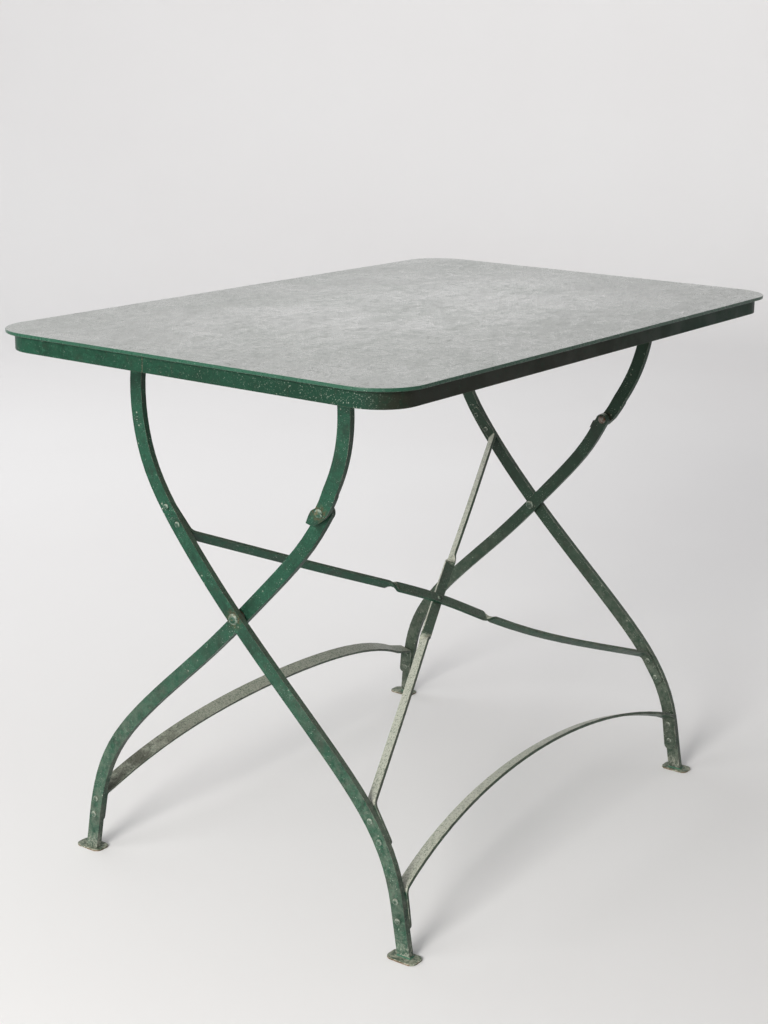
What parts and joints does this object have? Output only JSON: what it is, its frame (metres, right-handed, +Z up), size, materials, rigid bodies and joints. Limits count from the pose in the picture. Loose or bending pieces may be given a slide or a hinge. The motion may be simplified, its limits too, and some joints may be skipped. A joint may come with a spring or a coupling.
{
  "type": "folding bistro table",
  "caption": "Rectangular folding metal bistro table: sheet top with rolled rim and apron hoop on two crossed flat-bar leg frames.",
  "frame": {"origin": "on the floor, under the middle of the tabletop", "axes": "+X along the table's long side, +Y along its short side, +Z up"},
  "size_m": [1, 0.6232, 0.7374],
  "materials": {
    "tabletop": "worn grey-green paint on sheet steel",
    "frame_paint": "satin green paint, worn at the edges",
    "feet": "worn green paint with rust",
    "bare_steel": "dull steel"
  },
  "bodies": {
    "top": {"apron_hoop": "frame_paint", "bracket_a_left": "frame_paint", "bracket_a_right": "frame_paint", "bracket_b_left": "frame_paint", "bracket_b_right": "frame_paint", "bracket_rivet_left_1": "frame_paint", "bracket_rivet_left_2": "frame_paint", "bracket_rivet_left_3": "frame_paint", "bracket_rivet_left_4": "frame_paint", "bracket_rivet_right_1": "frame_paint", "bracket_rivet_right_2": "frame_paint", "bracket_rivet_right_3": "frame_paint", "bracket_rivet_right_4": "frame_paint", "crossbar_left": "frame_paint", "crossbar_right": "frame_paint", "pivot_rivet_a_left": "bare_steel", "pivot_rivet_a_right": "bare_steel", "pivot_rivet_b_left": "bare_steel", "pivot_rivet_b_right": "bare_steel", "tabletop_sheet": "tabletop"},
    "outer_frame": {"brace_1": "frame_paint", "brace_2": "frame_paint", "brace_rivet_centre": "frame_paint", "brace_rivet_left_1": "frame_paint", "brace_rivet_left_2": "frame_paint", "brace_rivet_left_3": "frame_paint", "brace_rivet_left_4": "frame_paint", "brace_rivet_right_1": "frame_paint", "brace_rivet_right_2": "frame_paint", "brace_rivet_right_3": "frame_paint", "brace_rivet_right_4": "frame_paint", "crossing_rivet_left": "frame_paint", "crossing_rivet_right": "frame_paint", "crossing_washer_left": "bare_steel", "crossing_washer_right": "bare_steel", "foot_a_left": "feet", "foot_a_right": "feet", "leg_a_left": "frame_paint", "leg_a_right": "frame_paint", "stretcher_a": "frame_paint", "stretcher_a_rivet_left_1": "frame_paint", "stretcher_a_rivet_left_2": "frame_paint", "stretcher_a_rivet_right_1": "frame_paint", "stretcher_a_rivet_right_2": "frame_paint"},
    "inner_frame": {"foot_b_left": "feet", "foot_b_right": "feet", "knuckle_inner_rivet_left": "bare_steel", "knuckle_inner_rivet_right": "bare_steel", "leg_b_left": "frame_paint", "leg_b_right": "frame_paint", "stretcher_b": "frame_paint", "stretcher_b_rivet_left_1": "frame_paint", "stretcher_b_rivet_left_2": "frame_paint", "stretcher_b_rivet_right_1": "frame_paint", "stretcher_b_rivet_right_2": "frame_paint"},
    "left_link": {"link_left": "frame_paint", "knuckle_rivet_left": "frame_paint"},
    "right_link": {"link_right": "frame_paint", "knuckle_rivet_right": "frame_paint"}
  },
  "joints": [
    {"name": "fold", "type": "hinge", "parent": "top", "child": "outer_frame", "pos_m": [0, 0.171, 0.703], "axis": [-1, 0, 0], "range_deg": [0, 57]},
    {"name": "scissor", "type": "hinge", "parent": "outer_frame", "child": "inner_frame", "pos_m": [0, 0.0129, 0.384], "axis": [-1, 0, 0], "range_deg": [0, 63.02]},
    {"name": "left_link_swing", "type": "hinge", "parent": "top", "child": "left_link", "pos_m": [-0.38, -0.162, 0.716], "axis": [1, 0, 0], "range_deg": [0, 66.6]},
    {"name": "right_link_swing", "type": "hinge", "parent": "top", "child": "right_link", "pos_m": [0.38, -0.162, 0.716], "axis": [1, 0, 0], "range_deg": [0, 66.6]}
  ],
  "couplings": [
    {"joint": "scissor", "follows": "fold", "ratio": 1.1055},
    {"joint": "left_link_swing", "follows": "fold", "ratio": 1.1683},
    {"joint": "right_link_swing", "follows": "fold", "ratio": 1.1683}
  ]
}
